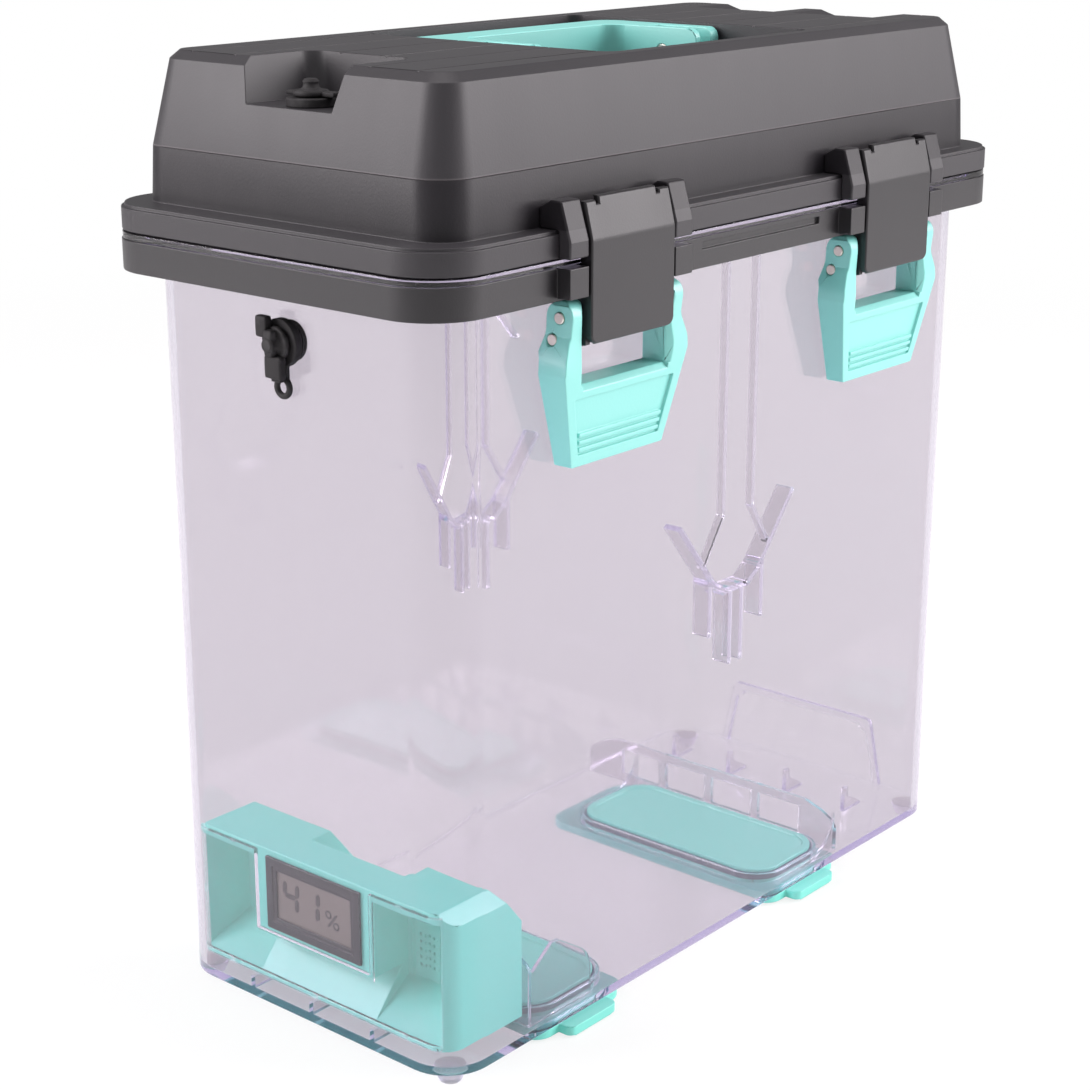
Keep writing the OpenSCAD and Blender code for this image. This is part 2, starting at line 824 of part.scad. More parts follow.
// Every hollow that the top of the lid has, grown by t
module lid_hollows(t) {
    translate([0, 0, recess_floor - t]) linear_extrude(recess_d + t + 1)
        round_rect(recess_l + 2 * t, recess_w + 2 * t, 6 + t);
    hull() {
        translate([0, 0, notch_floor - t]) linear_extrude(0.1) notch_plan(t, 0);
        translate([0, 0, lid_top]) linear_extrude(t + 1) notch_plan(t, notch_flare);
    }
    for (s = [-1, 1])
        bar_x(scoop_r + t, top_l / 2 - scoop_l - t, body_l, s * scoop_y, lid_top - scoop_d + scoop_r);
}

// Blocks beside the straps, on the lid's flange, carrying the ends of the catch bars
module catch_blocks() {
    face_y = -body_w / 2 - eps;
    flange_y = -lid_w / 2 - eps;
    color([0.46, 0.44, 0.45])
        difference() {
            for (s = [-1, 1], x0 = [-block_out, block_in])
                along_x(s * latch_x + x0, s * latch_x + x0 + block_out - block_in)
                    polygon([[-block_y, lid_z], [-block_y, lid_z + 5.4], [4 - block_y, lid_z + 18.5],
                             [8.5 - block_y, lid_z + 18.5], [face_y, lid_z + 16],
                             [face_y, flange_top + eps], [flange_y, flange_top + eps],
                             [flange_y, lid_z]]);
            for (s = [-1, 1])
                bar_x(catch_r + fit, s * latch_x - catch_l / 2, s * latch_x + catch_l / 2,
                      catch_y, catch_z);
        }
}

module hinge_lid(x) {
    for (k = [-1, 1]) {
        x0 = x + k * (knuckles - lid_knuckle_w) / 2 - lid_knuckle_w / 2 - k * slack;
        along_x(x0, x0 + lid_knuckle_w) union() {
            translate([hinge_y, hinge_z]) circle(knuckle_r);
            polygon([[lid_w / 2 - 2, lid_z], [hinge_y, lid_z - 0.5], [hinge_y + knuckle_r, hinge_z],
                     [hinge_y + knuckle_r, hinge_z + 1], [lid_w / 2 - 1, lid_z + 7],
                     [lid_w / 2 - 2, lid_z + 7]]);
        }
    }
}

// Lug in the recess that the handle turns on
module handle_lug(x) {
    along_x(x - lug_t / 2, x + lug_t / 2) union() {
        translate([0, pivot_z]) circle(lug_r);
        polygon([[-9, recess_floor - 1], [9, recess_floor - 1], [lug_r, pivot_z], [-lug_r, pivot_z]]);
    }
}

module lid_shell() {
    color([0.46, 0.44, 0.45])
        difference() {
            union() {
                difference() {
                    union() {
                        slab(lid_l, lid_w, collar_r + 0.5, lid_z, flange_top - 1.2);
                        slab(lid_l - 2.4, lid_w - 2.4, collar_r - 0.7, flange_top - 2, flange_top);
                        lid_form(0);
                    }
                    slab(lid_l - 2 * skirt_t, lid_w - 2 * skirt_t, collar_r + 0.5 - skirt_t,
                         lid_z - 1, lid_plate_z);
                    difference() {
                        lid_form(lid_t);
                        lid_hollows(pan_t);
                    }
                    lid_hollows(0);
                }
                for (s = [-1, 1])
                    handle_lug(s * lug_x);
                for (s = [-1, 1])
                    hinge_lid(s * latch_x);
            }
            for (k = [-2.5:1:2.5])
                block([-top_l, k * groove_pitch - groove_w / 2, lid_top - groove_d],
                      [top_l, k * groove_pitch + groove_w / 2, lid_top + 1]);
            translate([lid_port_x, 0, notch_floor - 10]) cylinder(r = neck_r, h = 20);
            for (s = [-1, 1]) {
                bar_x(handle_pin_d / 2 + fit, s * lug_x - lug_t, s * lug_x + lug_t, 0, pivot_z);
                bar_x(hinge_pin_r + fit, s * latch_x - knuckles, s * latch_x + knuckles,
                      hinge_y, hinge_z);
                bar_x(knuckle_r + 0.5, s * latch_x - knuckle_w / 2 - slack,
                      s * latch_x + knuckle_w / 2 + slack, hinge_y, hinge_z);
            }
        }
}

// Soft ring under the lid's flange
module lid_gasket() {
    inset = skirt_t + 1.6;
    color([0.2, 0.2, 0.22])
        ring(lid_l - 2 * inset, lid_w - 2 * inset, collar_r + 0.5 - inset, gasket_w,
             tub_top_z + slack, lid_plate_z);
}

// Two steel pins that the lid turns on
module hinge_pins() {
    color([0.7, 0.7, 0.72])
        for (s = [-1, 1])
            bar_x(hinge_pin_r, s * latch_x - knuckles / 2 + slack, s * latch_x + knuckles / 2 - slack,
                  hinge_y, hinge_z);
}

// Two steel bars in the lid that the straps pull on
module catch_pins() {
    color([0.7, 0.7, 0.72])
        for (s = [-1, 1])
            bar_x(catch_r, s * latch_x - catch_l / 2 + 0.5, s * latch_x + catch_l / 2 - 0.5,
                  catch_y, catch_z);
}

// ---- Carry handle, folded ----

// U shape open towards -Y, with round corners at the grip
module handle_u(x, y, r) {
    l = 2 * (y + 100);
    translate([0, y - l / 2]) round_rect(2 * x, l, r);
}

module carry_handle() {
    x_out = handle_w / 2;
    x_in = x_out - handle_bar;
    y_in = handle_reach - handle_bar;
    z_low = handle_top - handle_h;
    web_y = 9;
    color([0.5, 0.82, 0.8])
        difference() {
            intersection() {
                translate([0, 0, z_low]) linear_extrude(handle_h) difference() {
                    handle_u(x_out, handle_reach, handle_corner_r);
                    handle_u(x_in, y_in, handle_corner_r - 1);
                }
                along_x(-x_out - 1, x_out + 1) union() {
                    translate([-handle_heel + 4, z_low]) square([handle_reach + handle_heel, handle_h]);
                    translate([-handle_heel, z_low]) square([5, handle_h - 4]);
                    translate([-handle_heel + 4, handle_top - 4]) circle(4);
                }
            }
            translate([0, 0, z_low - 1]) linear_extrude(handle_h - web_t + 1) difference() {
                handle_u(x_out - outer_plate_t, handle_reach - outer_plate_t, handle_corner_r - 4);
                handle_u(x_in + inner_plate_t, y_in + inner_plate_t, handle_corner_r);
            }
            for (s = [-1, 1])
                block([s * lug_x - lug_gap / 2, -handle_heel - 1, z_low - 1],
                      [s * lug_x + lug_gap / 2, web_y, handle_top + 1]);
            bar_x(handle_pin_d / 2 + fit, -x_out - 1, x_out + 1, 0, pivot_z);
        }
}

module handle_pins() {
    color([0.7, 0.7, 0.72])
        for (s = [-1, 1])
            bar_x(handle_pin_d / 2, s * (handle_w / 2 - handle_bar / 2) - handle_bar / 2,
                  s * (handle_w / 2 - handle_bar / 2) + handle_bar / 2, 0, pivot_z);
}

// ---- Latches, closed ----

module latch_lever(x) {
    top_r = collar_bot - slack - pin1_z;
    back = tub_w / 2 + 1.5;
    panel_top = window_z - 4.5;
    panel_bot = lever_bot_z + 4;
    front_y = -lever_front;
    color([0.5, 0.82, 0.8])
        translate([x, 0, 0]) difference() {
            union() {
                difference() {
                    intersection() {
                        along_y(-200, 0)
                            polygon([[-head_out + 1.5, collar_bot], [-head_out, collar_bot - 2],
                                     [-head_out, pin1_z - 6], [-arm_out, pin1_z - 14],
                                     [-arm_out - 0.4, pin1_z - 19], [-lever_bot_w / 2, lever_bot_z],
                                     [lever_bot_w / 2, lever_bot_z], [arm_out + 0.4, pin1_z - 19],
                                     [arm_out, pin1_z - 14], [head_out, pin1_z - 6],
                                     [head_out, collar_bot - 2], [head_out - 1.5, collar_bot]]);
                        along_x(-arm_out - 5, arm_out + 5) union() {
                            translate([pin1_y, pin1_z]) circle(top_r);
                            polygon([[pin1_y - top_r, pin1_z], [pin1_y - top_r + 1, pin1_z - 8],
                                     [front_y, pin1_z - 15], [front_y, pin1_z - 18],
                                     [4.5 - lever_front, lever_bot_z], [-back, lever_bot_z],
                                     [-back, pin1_z - 14], [-back + 1, pin1_z - 11.5],
                                     [-back - 0.6, pin1_z - 4], [pin1_y + top_r, pin1_z]]);
                        }
                    }
                    // Window for the fingers, with its front edges cut back
                    block([-arm_in, -200, window_z], [arm_in, 0, collar_bot + 1]);
                    for (s = [-1, 1])
                        translate([0, 0, window_z]) linear_extrude(30)
                            polygon([[s * (arm_in - 0.5), front_y - 1],
                                     [s * (arm_in + window_edge + 1), front_y - 1],
                                     [s * (arm_in - 0.5), front_y + window_edge + 0.5]]);
                    along_x(-arm_in - 0.2, arm_in + 0.2)
                        polygon([[front_y - 1, window_z + 0.5],
                                 [front_y + window_edge + 1.3, window_z + 0.5],
                                 [front_y - 1, window_z - window_edge - 1.6]]);
                    // Shallow panel in front
                    lean_panel(1.1, [[-26.5, panel_top], [-21.5, panel_bot], [21.5, panel_bot],
                                     [26.5, panel_top]]);
                }
                // Three grip ribs at the bottom of the panel
                for (k = [0:2])
                    intersection() {
                        lean_panel(1.6, [[-21.5 - 0.3 * k, panel_bot + 1 + 2.6 * k],
                                         [-21.5 - 0.3 * k, panel_bot + 2.5 + 2.6 * k],
                                         [21.5 + 0.3 * k, panel_bot + 2.5 + 2.6 * k],
                                         [21.5 + 0.3 * k, panel_bot + 1 + 2.6 * k]]);
                        block([-30, -lever_front - 1, lever_bot_z], [30, 0, window_z]);
                    }
            }
            // Hollow behind
            block([-19, -lever_front + 7, lever_bot_z + 3], [19, -back + 1, window_z - 3]);
            for (p = [[pin1_y, pin1_z], [pin2_y, pin2_z]])
                bar_x(pin_r + fit, -arm_out - 5, arm_out + 5, p[0], p[1]);
        }
}

// Layer of the lever's leaning front face, from deep mm inside it out to the face, with an
// outline drawn in X and Z
module lean_panel(deep, outline) {
    lean = 4.5 / (pin1_z - 18 - lever_bot_z);
    intersection() {
        along_y(-200, 0) polygon(outline);
        along_x(-40, 40)
            polygon([[-lever_front + lean * (pin1_z - 18 - window_z), window_z],
                     [4.5 - lever_front, lever_bot_z],
                     [4.5 - lever_front + deep, lever_bot_z],
                     [-lever_front + lean * (pin1_z - 18 - window_z) + deep, window_z]]);
    }
}

module latch_pins(x) {
    color([0.7, 0.7, 0.72])
        for (p = [[pin1_y, pin1_z], [pin2_y, pin2_z]])
            bar_x(pin_r, x - pin_len / 2, x + pin_len / 2, p[0], p[1]);
}

// Strap: a front plate that leans in at the top, and two side flanges with the pin lugs
module latch_strap(x) {
    rise = strap_top_z - strap_crease_z;
    front = -strap_y + strap_t;
    flange_end = strap_crease_z + rise * (-strap_in - front) / strap_lean;
    color([0.36, 0.34, 0.36])
        translate([x, 0, 0]) difference() {
            union() {
                along_x(-strap_w / 2, strap_w / 2)
                    polygon([[-strap_y, strap_bot_z], [-strap_y, strap_crease_z],
                             [strap_lean - strap_y, strap_top_z], [strap_lean + front, strap_top_z],
                             [-strap_in, flange_end], [-strap_in, pin1_z - 2],
                             [pin2_y - 2, pin2_z + strap_lug_r - 0.8],
                             [pin2_y - 2, pin2_z - strap_lug_r + 0.8]]);
                bar_x(strap_lug_r, -strap_w / 2, strap_w / 2, pin2_y, pin2_z);
            }
            // Round lower corners of the front plate, and a raised middle at the top
            for (s = [-1, 1]) {
                x_edge = s * (strap_w / 2 - strap_corner_r);
                along_y(-strap_y - 1, -strap_y + strap_t + 0.5) difference() {
                    translate([s * (strap_w / 2 - strap_corner_r / 2 + 0.5),
                               strap_bot_z + strap_corner_r / 2 - 0.5])
                        square(strap_corner_r + 1, center = true);
                    translate([x_edge, strap_bot_z + strap_corner_r]) circle(strap_corner_r);
                }
                block([s < 0 ? -strap_w : strap_tab_w / 2, -strap_y - 1, strap_top_z - strap_step],
                      [s < 0 ? -strap_tab_w / 2 : strap_w, 0, strap_top_z + 1]);
                block([s < 0 ? -strap_tab_w / 2 - 1.5 : strap_tab_w / 2, -strap_y - 1,
                       strap_top_z - 2 * strap_step],
                      [s < 0 ? -strap_tab_w / 2 : strap_tab_w / 2 + 1.5, 0, strap_top_z + 1]);
            }
            along_x(-strap_w / 2 + strap_t, strap_w / 2 - strap_t)
                polygon([[front, strap_bot_z - 20], [front, strap_crease_z],
                         [front + 2 * strap_lean, strap_crease_z + 2 * rise],
                         [0, strap_crease_z + 2 * rise], [0, strap_bot_z - 20]]);
            bar_x(pin_r + fit, -strap_w, strap_w, pin2_y, pin2_z);
        }
}

module left_latch_lever() {
    latch_lever(-latch_x);
}

module left_latch_pins() {
    latch_pins(-latch_x);
}

module left_latch_strap() {
    latch_strap(-latch_x);
}

module right_latch_lever() {
    latch_lever(latch_x);
}

module right_latch_pins() {
    latch_pins(latch_x);
}

module right_latch_strap() {
    latch_strap(latch_x);
}

// ---- Desiccant trays ----

module tray(x) {
    plate_front = -tub_w / 2 + 0.5;
    plate_rear = plug_y + plug_l / 2 + plate_back;
    core_l = plug_l / 2 - 7;
    color([0.5, 0.82, 0.8])
        translate([x, 0, 0]) difference() {
            union() {
                translate([0, 0, plate_top - eps]) linear_extrude(plug_top - plate_top + eps)
                    tray_outline(0);
                translate([0, (plate_front + plate_rear) / 2, 0])
                    slab(plug_w + 2 * plate_over, plate_rear - plate_front, 8, plate_bot, plate_top);
                // Pull tab, with a low lip under its edge
                translate([0, plate_front, 0]) slab(tab_w, 2 * tab_out, 3, plate_bot, plate_top);
                block([-tab_w / 2 + 3, plate_front - tab_out + 0.5, plate_bot - 0.7],
                      [tab_w / 2 - 3, plate_front - tab_out + 2.5, plate_bot + eps]);
            }
            // Grooves that core the plug out from below
            for (s = [-1, 1], k = [-2:2])
                translate([k * core_pitch, plug_y + s * (core_l / 2 + 2), plate_bot - 1])
                    linear_extrude(plug_top - plate_bot - 1)
                        square([core_w, core_l], center = true);
            translate([0, 0, plug_top - 0.6]) linear_extrude(1) tray_outline(-3);
        }
}

module tray_seal(x) {
    color([0.3, 0.33, 0.42])
        translate([x, 0, floor_z + 0.6]) linear_extrude(2.8) difference() {
            tray_outline(seat_gap - slack);
            tray_outline(0);
        }
}

module near_tray() {
    tray(near_tray_x);
}

module near_tray_seal() {
    tray_seal(near_tray_x);
}

module far_tray() {
    tray(far_tray_x);
}

module far_tray_seal() {
    tray_seal(far_tray_x);
}

tub();
rim_collar();
feet();
near_vent_screen();
far_vent_screen();
end_port_grommet();
sensor_housing();
housing_window();
meter_case();
lcd_panel();
meter_board();
button_cells();
battery_cover();
lid_shell();
lid_gasket();
lid_port_grommet();
catch_blocks();
hinge_pins();
catch_pins();
carry_handle();
handle_pins();
left_latch_lever();
left_latch_pins();
left_latch_strap();
right_latch_lever();
right_latch_pins();
right_latch_strap();
near_tray();
near_tray_seal();
far_tray();
far_tray_seal();
end_port_cap();
lid_port_cap();
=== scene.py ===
"""Dry box for filament spools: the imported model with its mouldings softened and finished."""
import json
import math

import bpy
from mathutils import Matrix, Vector


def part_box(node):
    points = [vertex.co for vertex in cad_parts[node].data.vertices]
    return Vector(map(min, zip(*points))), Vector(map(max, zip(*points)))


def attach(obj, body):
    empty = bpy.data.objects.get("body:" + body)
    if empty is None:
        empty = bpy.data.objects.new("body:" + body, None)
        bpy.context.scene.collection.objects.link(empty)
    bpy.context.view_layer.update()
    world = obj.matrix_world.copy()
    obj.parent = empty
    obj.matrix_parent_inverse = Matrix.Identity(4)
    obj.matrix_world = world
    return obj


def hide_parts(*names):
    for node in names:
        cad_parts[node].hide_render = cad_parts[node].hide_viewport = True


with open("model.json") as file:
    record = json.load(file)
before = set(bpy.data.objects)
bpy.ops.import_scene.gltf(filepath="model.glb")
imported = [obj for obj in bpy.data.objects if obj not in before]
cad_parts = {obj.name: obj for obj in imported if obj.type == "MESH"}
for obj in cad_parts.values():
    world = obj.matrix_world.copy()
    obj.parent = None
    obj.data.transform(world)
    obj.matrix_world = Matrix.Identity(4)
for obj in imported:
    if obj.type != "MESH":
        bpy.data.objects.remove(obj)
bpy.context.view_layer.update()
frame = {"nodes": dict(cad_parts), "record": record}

MM = 0.001
WHITE = (1.0, 1.0, 1.0, 1.0)
RECORD = frame["record"]
BODY_OF = {node: body for body, nodes in RECORD["behaviour"]["bodies"].items() for node in nodes}
SLOT_OF = {part["node"]: part["material_slot"] for part in RECORD["subparts"]}
scene = bpy.context.scene


# ---- Shader expressions ----

class Signal:
    """One socket of a node tree. Arithmetic on it adds Math nodes."""

    def __init__(self, nodes, socket):
        self.nodes, self.socket = nodes, socket

    def math(self, operation, *values):
        return self.nodes.node("ShaderNodeMath", {"operation": operation}, dict(enumerate(values)))

    def __add__(self, other): return self.math("ADD", self, other)
    def __radd__(self, other): return self.math("ADD", other, self)
    def __sub__(self, other): return self.math("SUBTRACT", self, other)
    def __rsub__(self, other): return self.math("SUBTRACT", other, self)
    def __mul__(self, other): return self.math("MULTIPLY", self, other)
    def __rmul__(self, other): return self.math("MULTIPLY", other, self)
    def __truediv__(self, other): return self.math("DIVIDE", self, other)
    def __rtruediv__(self, other): return self.math("DIVIDE", other, self)
    def __pow__(self, other): return self.math("POWER", self, other)
    def __rpow__(self, other): return self.math("POWER", other, self)
    def __abs__(self): return self.math("ABSOLUTE", self)

    def larger(self, other): return self.math("MAXIMUM", self, other)
    def smaller(self, other): return self.math("MINIMUM", self, other)

    def above(self, level, soft):
        """0 below the level and 1 above it, with an edge that is soft wide."""
        return self.nodes.node(
            "ShaderNodeMapRange", {"interpolation_type": "SMOOTHSTEP"},
            {"Value": self, "From Min": level - soft / 2, "From Max": level + soft / 2})


class Nodes:
    """The node tree of a material or of the world."""

    def __init__(self, owner):
        owner.use_nodes = True
        self.tree = owner.node_tree
        self.tree.nodes.clear()

    def node(self, kind, settings=None, inputs=None, output=0):
        """Adds a node: its settings first, then the values or links of its sockets."""
        node = self.tree.nodes.new(kind)
        for name, value in (settings or {}).items():
            setattr(node, name, value)
        for name, value in (inputs or {}).items():
            if isinstance(value, Signal):
                self.tree.links.new(value.socket, node.inputs[name])
            else:
                node.inputs[name].default_value = value
        return Signal(self, node.outputs[output]) if node.outputs else None

    def ray(self, answer):
        return self.node("ShaderNodeLightPath", output=answer)

    def seen(self):
        """1 for what is seen directly, through clear plastic or in a second reflection."""
        plain = self.ray("Is Camera Ray").larger(self.ray("Is Transmission Ray"))
        return plain.larger(self.ray("Glossy Depth").above(1.5, 0.5))


class Finish(Nodes):
    """A node material for one kind of surface."""

    def __init__(self, name):
        self.material = bpy.data.materials.new(name)
        super().__init__(self.material)
        self.place = self.node("ShaderNodeTexCoord", output="Object")

    def axes(self):
        parts = self.node("ShaderNodeSeparateXYZ", inputs={0: self.place}).socket.node
        return [Signal(self, parts.outputs[k]) for k in range(3)]

    def stretched(self, scale):
        return self.node("ShaderNodeMapping", inputs={"Vector": self.place, "Scale": scale})

    def noise(self, scale, detail=2.0, place=None):
        return self.node("ShaderNodeTexNoise", inputs={
            "Vector": place or self.place, "Scale": scale, "Detail": detail})

    def mix(self, factor, first, second):
        """Mixes two colours."""
        return self.node("ShaderNodeMix", {"data_type": "RGBA"},
                         {0: factor, 6: first, 7: second}, output=2)

    def bump(self, height, strength, distance, under=None):
        inputs = {"Height": height, "Strength": strength, "Distance": distance}
        if under:
            inputs["Normal"] = under
        return self.node("ShaderNodeBump", inputs=inputs)

    def principled(self, **inputs):
        """Principled shader. Underscores in a socket's name stand for spaces."""
        named = {name.replace("_", " "): value for name, value in inputs.items()}
        return self.node("ShaderNodeBsdfPrincipled", inputs=named)

    def either(self, factor, first, second):
        """The first shader where the factor is 0, and the second where it is 1."""
        return self.node("ShaderNodeMixShader", inputs={0: factor, 1: first, 2: second})

    def finished(self, shader, volume=None):
        inputs = {"Surface": shader}
        if volume:
            inputs["Volume"] = volume
        self.node("ShaderNodeOutputMaterial", inputs=inputs)
        return self.material


def srgb(red, green, blue):
    """Linear colour from the 0 to 255 values that it shows as."""
    def linear(value):
        value /= 255
        return value / 12.92 if value <= 0.04045 else ((value + 0.055) / 1.055) ** 2.4
    return (linear(red), linear(green), linear(blue), 1.0)


def shade(colour, factor):
    """The colour made darker or lighter by a factor."""
    return tuple(min(1.0, channel * factor) for channel in colour[:3]) + (1.0,)


# ---- Finishes ----

MOULDED_IOR = 1.47
SPARK_GRAIN = 0.12 * MM
FLOOR_OF_BAND, TOP_OF_BAND = 0.2983, 0.3172    # heights on the lid, in metres


def moulded(name, colour, rough, grain=0.25, cloud=0.06, gloss=0.5):
    """Moulded plastic: fine spark-eroded grain, faint clouding, and soft flow marks."""
    f = Finish(name)
    clouds = f.noise(22, 3.0)
    flow = f.noise(60, 3.0, f.stretched((1.0, 1.0, 0.12)))
    specks = f.noise(1400)
    base = f.mix(clouds * 0.6 + flow * 0.4, shade(colour, 1 - 2 * cloud), shade(colour, 1 + cloud))
    return f.finished(f.principled(
        Base_Color=base, Roughness=rough - 0.06 + flow * 0.08 + specks * 0.06,
        Normal=f.bump(specks, grain, SPARK_GRAIN), Specular_IOR_Level=gloss, IOR=MOULDED_IOR))


def lid_plastic():
    """Dark moulded plastic with a painted highlight along the step above the lid's upright band;
    below it polished, on a darker base that is partly painted shade.
    """
    f = Finish("dark_moulded_lid")
    edge, step_highlight_width = 0.4 * MM, 0.7 * MM
    _, _, z = f.axes()
    clouds, specks = f.noise(18, 3.0), f.noise(1300)
    flow = f.noise(70, 3.0, f.stretched((1.0, 1.0, 0.08)))
    upper = z.above(TOP_OF_BAND, edge)
    flange = 1 - z.above(FLOOR_OF_BAND, edge)
    # Painted highlight: a pale stripe along the edge of the step above the band
    step_highlight = 1 - (abs(z - TOP_OF_BAND) / step_highlight_width).smaller(1.0)
    body = f.mix(clouds * 0.6 + flow * 0.4, srgb(39, 37, 41), srgb(46, 43, 47))
    body = f.mix(step_highlight * 0.35, body, srgb(125, 118, 120))
    # The upright band has its own polished finish; its darker base is also painted shade, for the
    # lesser light its upright faces catch
    band = f.mix(flow, srgb(29, 27, 31), srgb(40, 37, 41))
    normal = f.bump(upper, 1.0, 0.3 * MM, under=f.bump(specks, 0.25, SPARK_GRAIN))
    wander = flow * 0.06 + specks * 0.04
    satin = f.principled(Base_Color=body, Roughness=0.44 + wander, Normal=normal,
                         Specular_IOR_Level=0.66, IOR=MOULDED_IOR)
    polished = f.principled(Base_Color=band, Roughness=0.33 + wander, Normal=normal,
                            Specular_IOR_Level=0.38, IOR=MOULDED_IOR)
    return f.finished(f.either(upper.larger(flange), polished, satin))


def clear_plastic(name, depth=26.0, rough=0.03, tint=(0.808, 0.784, 0.798, 1.0), clear=0.985):
    """Clear polished plastic, which looks indigo along its edges, where it is seen deepest."""
    f = Finish(name)
    waves, specks = f.noise(9), f.noise(500)
    glass = f.principled(Base_Color=tint, Roughness=rough + specks * 0.015, IOR=1.45,
                         Transmission_Weight=clear, Normal=f.bump(waves, 0.08, 2 * MM))
    passing = f.node("ShaderNodeBsdfTransparent", inputs={"Color": WHITE})
    # Light passes straight through for shadows, and where a path inside the walls grows long
    deep = f.ray("Ray Depth").above(6.5, 0.5).larger(f.ray("Glossy Depth").above(2.5, 0.5))
    through = deep.larger(f.ray("Is Shadow Ray").larger(f.ray("Is Diffuse Ray")))
    indigo = f.node("ShaderNodeVolumeAbsorption", inputs={
        "Color": (0.25, 0.083, 0.625, 1.0), "Density": depth})
    return f.finished(f.either(through, glass, passing), indigo)


def rubber(name, colour):
    """Matt rubber with a little dust on it."""
    f = Finish(name)
    dust, specks = f.noise(160, 4.0), f.noise(1800)
    dusty = tuple(channel + 0.035 for channel in colour[:3]) + (1.0,)
    return f.finished(f.principled(
        Base_Color=f.mix(dust.above(0.62, 0.3) * 0.7, colour, dusty),
        Roughness=0.62 + dust * 0.15, Normal=f.bump(specks, 0.3, 0.1 * MM),
        Specular_IOR_Level=0.35))


def turned_steel(name, colour):
    """Bright steel with turning rings."""
    f = Finish(name)
    rings = f.noise(900, place=f.stretched((1.0, 0.05, 0.05)))
    spots = f.noise(700, 3.0)
    return f.finished(f.principled(
        Base_Color=f.mix(spots * 0.5, colour, srgb(235, 228, 222)), Metallic=1.0,
        Roughness=0.2 + rings * 0.14 + spots * 0.08, Normal=f.bump(rings, 0.2, 0.05 * MM)))


def display(name):
    """Reflective liquid crystal: dull grey film with a faint pixel backing."""
    f = Finish(name)
    half_width = 20.5 * MM
    _, y, _ = f.axes()
    film, specks = f.noise(60), f.noise(2600, 1.0)
    base = f.mix(film, srgb(113, 105, 99), srgb(122, 114, 108))
    # Painted shade: the film darker towards both ends of the display, beside the bezel
    base = f.mix((abs(y) / half_width) ** 6.0 * 0.6, base, srgb(112, 104, 100))
    return f.finished(f.principled(
        Base_Color=base, Roughness=0.32 + specks * 0.08, Coat_Weight=0.35,
        Coat_Roughness=0.08, Normal=f.bump(specks, 0.1, 0.03 * MM)))


def board(name):
    """Green laminate with paler tracks."""
    f = Finish(name)
    tracks = f.node("ShaderNodeTexBrick", {"offset": 0.5}, {
        "Vector": f.stretched((0.0, 1.0, 1.0)), "Scale": 240.0, "Mortar Size": 0.03,
        "Color1": srgb(20, 92, 58), "Color2": srgb(26, 104, 66), "Mortar": srgb(48, 132, 84)})
    return f.finished(f.principled(Base_Color=tracks, Roughness=0.3 + f.noise(900) * 0.15))


def turquoise(name, colour):
    return moulded(name, colour, rough=0.36, cloud=0.02, gloss=1.0)


# By the record's material slots
FINISHES = {
    "clear_plastic": clear_plastic("clear_moulding"),
    "window_plastic": clear_plastic("clear_cover", depth=8.0, rough=0.02,
                                    tint=(0.985, 0.985, 0.99, 1.0), clear=1.0),
    "collar_plastic": moulded("dark_moulded_collar", srgb(32, 30, 33), rough=0.36, gloss=0.65),
    "lid_plastic": lid_plastic(),
    "strap_plastic": moulded("dark_moulded_strap", srgb(32, 30, 33), rough=0.38, gloss=0.6),
    "turquoise_plastic": turquoise("turquoise_moulding", srgb(132, 213, 205)),
    "rubber": rubber("black_rubber", srgb(34, 32, 34)),
    "gasket_rubber": rubber("gasket_rubber", srgb(48, 47, 52)),
    "seal_rubber": rubber("seal_rubber", srgb(66, 78, 104)),
    "meter_plastic": moulded("meter_plastic", srgb(38, 34, 44), rough=0.36, grain=0.12),
    "display_glass": display("liquid_crystal"),
    "board_laminate": board("circuit_laminate"),
    "pin_steel": turned_steel("turned_steel", srgb(226, 218, 210)),
}
DIGITS = moulded("display_digits", srgb(66, 61, 63), rough=0.5, grain=0.05)
FEET = clear_plastic("clear_feet", depth=30.0, rough=0.3, tint=(0.85, 0.82, 0.82, 1.0))
# Painted light: a lighter, more saturated copy of the turquoise, in place of light that the clear
# tub's walls hold back
TURQUOISE_PAINTED_LIGHTER = turquoise("turquoise_moulding_painted_lighter", srgb(120, 222, 207))

# Nodes that differ from the rest of their slot: the frosted feet, and the sensor housing and
# trays, whose lighter, more saturated turquoise is painted light
OWN_FINISH = {"feet": FEET, "sensor_housing": TURQUOISE_PAINTED_LIGHTER, "near_tray": TURQUOISE_PAINTED_LIGHTER,
              "far_tray": TURQUOISE_PAINTED_LIGHTER}


# ---- Mouldings ----

WELD = 0.02 * MM
FLAT = math.radians(0.6)
SHARP = math.radians(32)
CAD_SMOOTH, NEW_SMOOTH = math.radians(38), math.radians(40)

# Rounding of each node's edges, in millimetres
SOFT_EDGES = {
    "tub": 0.25, "rim_collar": 0.3, "near_vent_screen": 0.35, "far_vent_screen": 0.25,
    "sensor_housing": 0.35, "housing_window": 0.25, "lid_shell": 0.25, "catch_blocks": 0.6,
    "carry_handle": 0.4, "left_latch_lever": 0.35, "right_latch_lever": 0.35,
    "near_tray": 0.3, "far_tray": 0.3, "end_port_cap": 0.3, "lid_port_cap": 0.3,
    "end_port_grommet": 0.4, "lid_port_grommet": 0.4, "feet": 0.5, "left_latch_pins": 0.3,
    "right_latch_pins": 0.3, "handle_pins": 0.3, "hinge_pins": 0.3, "catch_pins": 0.3,
    "button_cells": 0.4, "lid_gasket": 0.3, "near_tray_seal": 0.3, "far_tray_seal": 0.3,
    "meter_case": 0.45, "battery_cover": 0.2, "lcd_panel": 0.1, "meter_board": 0.1,
    "left_latch_strap": 0.5, "right_latch_strap": 0.5,
}
# Rounding held back where the edges lie close together
CLOSE_EDGES = ("meter_case", "battery_cover", "lcd_panel", "meter_board",
               "left_latch_strap", "right_latch_strap")
